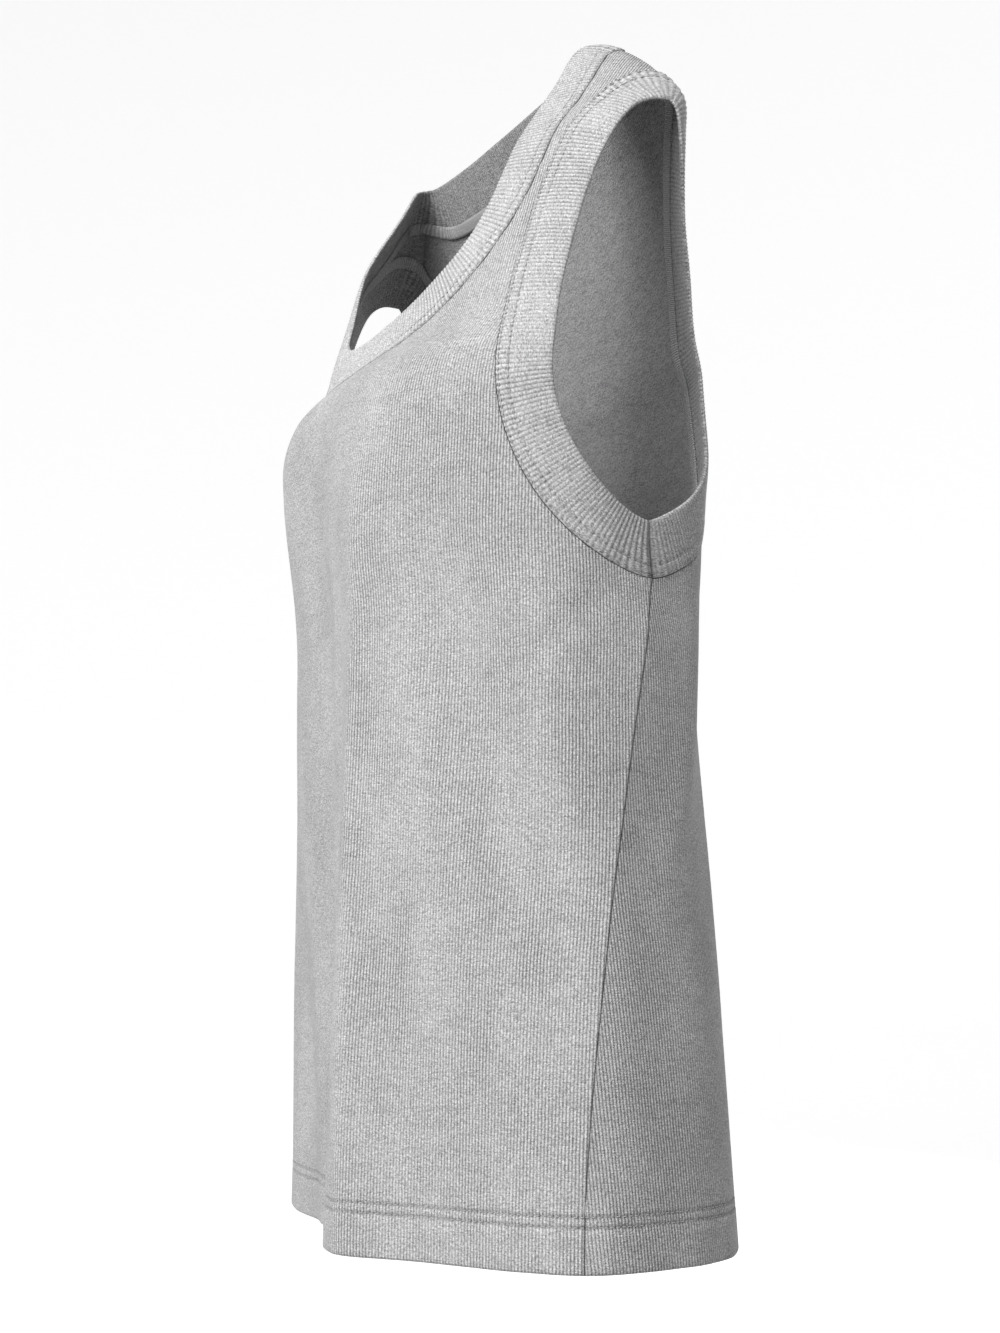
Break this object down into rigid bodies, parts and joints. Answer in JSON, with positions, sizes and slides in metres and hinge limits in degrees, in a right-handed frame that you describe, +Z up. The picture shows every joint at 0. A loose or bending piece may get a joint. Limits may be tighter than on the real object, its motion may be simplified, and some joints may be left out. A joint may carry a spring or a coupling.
{
  "type": "tank top",
  "caption": "Sleeveless rib-knit top in its worn, hollow form, with a scooped neck, wide folded rib bands at neck and armholes, and a turned-up hem",
  "frame": {"origin": "midway between the two shoulder straps, at the height of their undersides, where the wearer's shoulders carry them", "axes": "+Z up, -Y to the front of the garment, +X to the wearer's left"},
  "size_m": [0.325, 0.2019, 0.6289],
  "materials": {
    "knit": "matte heather knit",
    "rib": "matte heather rib knit"
  },
  "bodies": {
    "root": {"front_panel": "knit", "back_panel": "knit", "neck_rib": "rib", "left_armhole_rib": "rib", "right_armhole_rib": "rib"}
  },
  "joints": []
}
